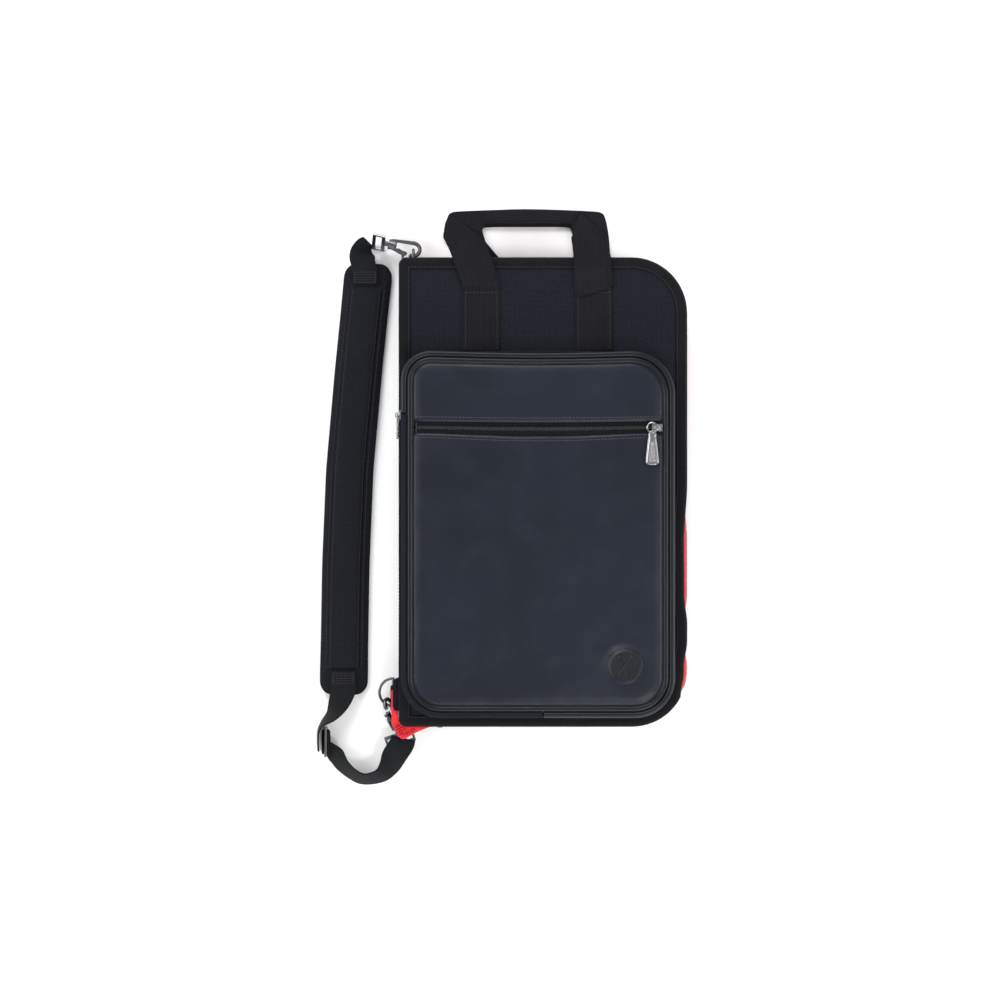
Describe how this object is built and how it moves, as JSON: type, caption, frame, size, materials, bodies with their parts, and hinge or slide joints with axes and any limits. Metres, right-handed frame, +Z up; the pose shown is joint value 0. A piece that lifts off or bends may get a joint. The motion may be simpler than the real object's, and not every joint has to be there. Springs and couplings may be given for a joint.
{
  "type": "drum stick bag",
  "caption": "Fold-open padded bag for drum sticks with a zipped front pocket, carry handles and a hooked shoulder strap.",
  "frame": {"origin": "centre of the bag body's underside, on the surface it lies on", "axes": "+X from the spine to the opening edge, +Y towards the handles, +Z up through the front pocket"},
  "size_m": [0.3745, 0.582, 0.0701],
  "materials": {
    "nylon": "woven ballistic nylon",
    "binding": "woven edge tape",
    "webbing": "woven webbing",
    "red_zipper": "woven tape with nylon coil",
    "black_zipper": "woven tape with nylon coil",
    "lining": "plain lining cloth",
    "gunmetal": "gunmetal plating",
    "leather_panel": "satin synthetic leather",
    "leather_piping": "satin synthetic leather",
    "silver": "bright nickel plating"
  },
  "bodies": {
    "bag_back": {"back_panel": "nylon", "back_binding": "binding", "spine_gusset": "nylon", "back_gusset": "nylon", "main_zipper_back": "red_zipper", "zipper_tail": "red_zipper", "back_lining": "lining", "stick_sleeve": "nylon", "back_handle_legs": "webbing", "top_tab": "webbing", "bottom_tab": "webbing", "shoulder_pad": "nylon", "pad_inset": "nylon", "upper_webbing": "webbing", "pad_webbing": "webbing", "lower_webbing": "webbing", "top_eye": "gunmetal", "bottom_eye": "gunmetal"},
    "back_handle": {"back_handle": "webbing"},
    "top_ring": {"top_ring": "gunmetal"},
    "bottom_ring": {"bottom_ring": "gunmetal"},
    "adjuster": {"adjuster": "gunmetal"},
    "top_hook": {"top_hook": "gunmetal"},
    "top_gate": {"top_gate": "gunmetal"},
    "bottom_hook": {"bottom_hook": "gunmetal"},
    "bottom_gate": {"bottom_gate": "gunmetal"},
    "cover": {"front_panel": "nylon", "front_binding": "binding", "front_gusset": "nylon", "main_zipper_front": "red_zipper", "front_lining": "lining", "inner_pocket": "nylon", "front_handle_legs": "webbing", "pocket_gusset": "nylon", "pocket_zipper_lower": "black_zipper", "corner_gusset": "nylon", "corner_piping": "leather_piping", "corner_panel": "leather_panel"},
    "front_handle": {"front_handle": "webbing"},
    "pocket_lid": {"lid_band": "leather_piping", "pocket_zipper_upper": "black_zipper", "outer_piping": "leather_piping", "inner_piping": "leather_piping", "panel_lower": "leather_panel", "panel_upper": "leather_panel", "slash_tape": "black_zipper", "slash_coil": "black_zipper", "slash_flap": "leather_panel", "slash_liner": "lining", "emblem": "leather_panel"},
    "slash_slider": {"slash_slider": "silver"},
    "slash_link": {"slash_link": "silver"},
    "slash_puller": {"slash_puller": "silver"},
    "pocket_slider": {"pocket_slider": "silver"},
    "pocket_link": {"pocket_link": "silver"},
    "pocket_puller": {"pocket_puller": "silver"},
    "main_slider": {"main_slider": "silver"},
    "main_link": {"main_link": "silver"},
    "main_puller": {"main_puller": "silver"}
  },
  "joints": [
    {"name": "cover_opening", "type": "hinge", "parent": "bag_back", "child": "cover", "pos_m": [-0.145, 0, 0.04], "axis": [0, -1, 0], "range_deg": [0, 140]},
    {"name": "pocket_opening", "type": "hinge", "parent": "cover", "child": "pocket_lid", "pos_m": [-0.142, 0.078, 0.065], "axis": [-0.4244, 0.9055, 0], "range_deg": [-100, 0]},
    {"name": "front_handle_fold", "type": "hinge", "parent": "cover", "child": "front_handle", "pos_m": [0, 0.2074, 0.042], "axis": [-1, 0, 0], "range_deg": [-110, 0]},
    {"name": "back_handle_fold", "type": "hinge", "parent": "bag_back", "child": "back_handle", "pos_m": [0, 0.237, 0.0002], "axis": [1, 0, 0], "range_deg": [0, 25]},
    {"name": "top_ring_swing", "type": "hinge", "parent": "bag_back", "child": "top_ring", "pos_m": [-0.131, 0.234, 0.0146], "axis": [0, 0, 1], "range_deg": [-8, 8]},
    {"name": "bottom_ring_swing", "type": "hinge", "parent": "bag_back", "child": "bottom_ring", "pos_m": [-0.1515, -0.203, 0.0118], "axis": [0, 1, 0], "range_deg": [-2.5, 2.5]},
    {"name": "top_hook_swivel", "type": "hinge", "parent": "bag_back", "child": "top_hook", "pos_m": [-0.16608, 0.2536, 0.0146], "axis": [0.9744, -0.225, 0], "range_deg": [-10, 10]},
    {"name": "bottom_hook_swivel", "type": "hinge", "parent": "bag_back", "child": "bottom_hook", "pos_m": [-0.14458, -0.25014, 0.012], "axis": [-0.3256, 0.9455, 0], "range_deg": [-5, 5]},
    {"name": "top_gate_press", "type": "hinge", "parent": "top_hook", "child": "top_gate", "pos_m": [-0.14587, 0.24421, 0.0146], "axis": [0, 0, 1], "range_deg": [0, 20], "stiffness_Nm_per_rad": 0.02, "springref_deg": -11.46},
    {"name": "bottom_gate_press", "type": "hinge", "parent": "bottom_hook", "child": "bottom_gate", "pos_m": [-0.15372, -0.23023, 0.01606], "axis": [-0.8348, -0.2875, -0.4695], "range_deg": [0, 20], "stiffness_Nm_per_rad": 0.02, "springref_deg": -11.46},
    {"name": "adjuster_slide", "type": "slide", "parent": "bag_back", "child": "adjuster", "axis": [0, -1, 0], "range_m": [-0.003, 0.003]},
    {"name": "slash_slider_travel", "type": "slide", "parent": "pocket_lid", "child": "slash_slider", "axis": [-1, 0, 0], "range_m": [0, 0.235]},
    {"name": "slash_link_swing", "type": "hinge", "parent": "slash_slider", "child": "slash_link", "pos_m": [0.113, 0.064, 0.0677], "axis": [0, -1, 0], "range_deg": [-90, 0]},
    {"name": "slash_puller_swing", "type": "hinge", "parent": "slash_link", "child": "slash_puller", "pos_m": [0.108, 0.059, 0.0677], "axis": [1, 0, 0], "range_deg": [-120, 0]},
    {"name": "pocket_slider_travel", "type": "slide", "parent": "cover", "child": "pocket_slider", "axis": [0, 1, 0], "range_m": [0, 0.026]},
    {"name": "pocket_link_swing", "type": "hinge", "parent": "pocket_slider", "child": "pocket_link", "pos_m": [-0.1457, 0.077, 0.0518], "axis": [0, 0, 1], "range_deg": [-60, 0]},
    {"name": "pocket_puller_swing", "type": "hinge", "parent": "pocket_link", "child": "pocket_puller", "pos_m": [-0.1457, 0.067, 0.0518], "axis": [0, 0, 1], "range_deg": [-60, 0]},
    {"name": "main_slider_travel", "type": "slide", "parent": "bag_back", "child": "main_slider", "axis": [1, 0, 0], "range_m": [0, 0.18]},
    {"name": "main_link_swing", "type": "hinge", "parent": "main_slider", "child": "main_link", "pos_m": [-0.104, -0.2357, 0.02], "axis": [0, 0, -1], "range_deg": [0, 70]},
    {"name": "main_puller_swing", "type": "hinge", "parent": "main_link", "child": "main_puller", "pos_m": [-0.094, -0.2357, 0.02], "axis": [0, 0, -1], "range_deg": [0, 70]}
  ]
}
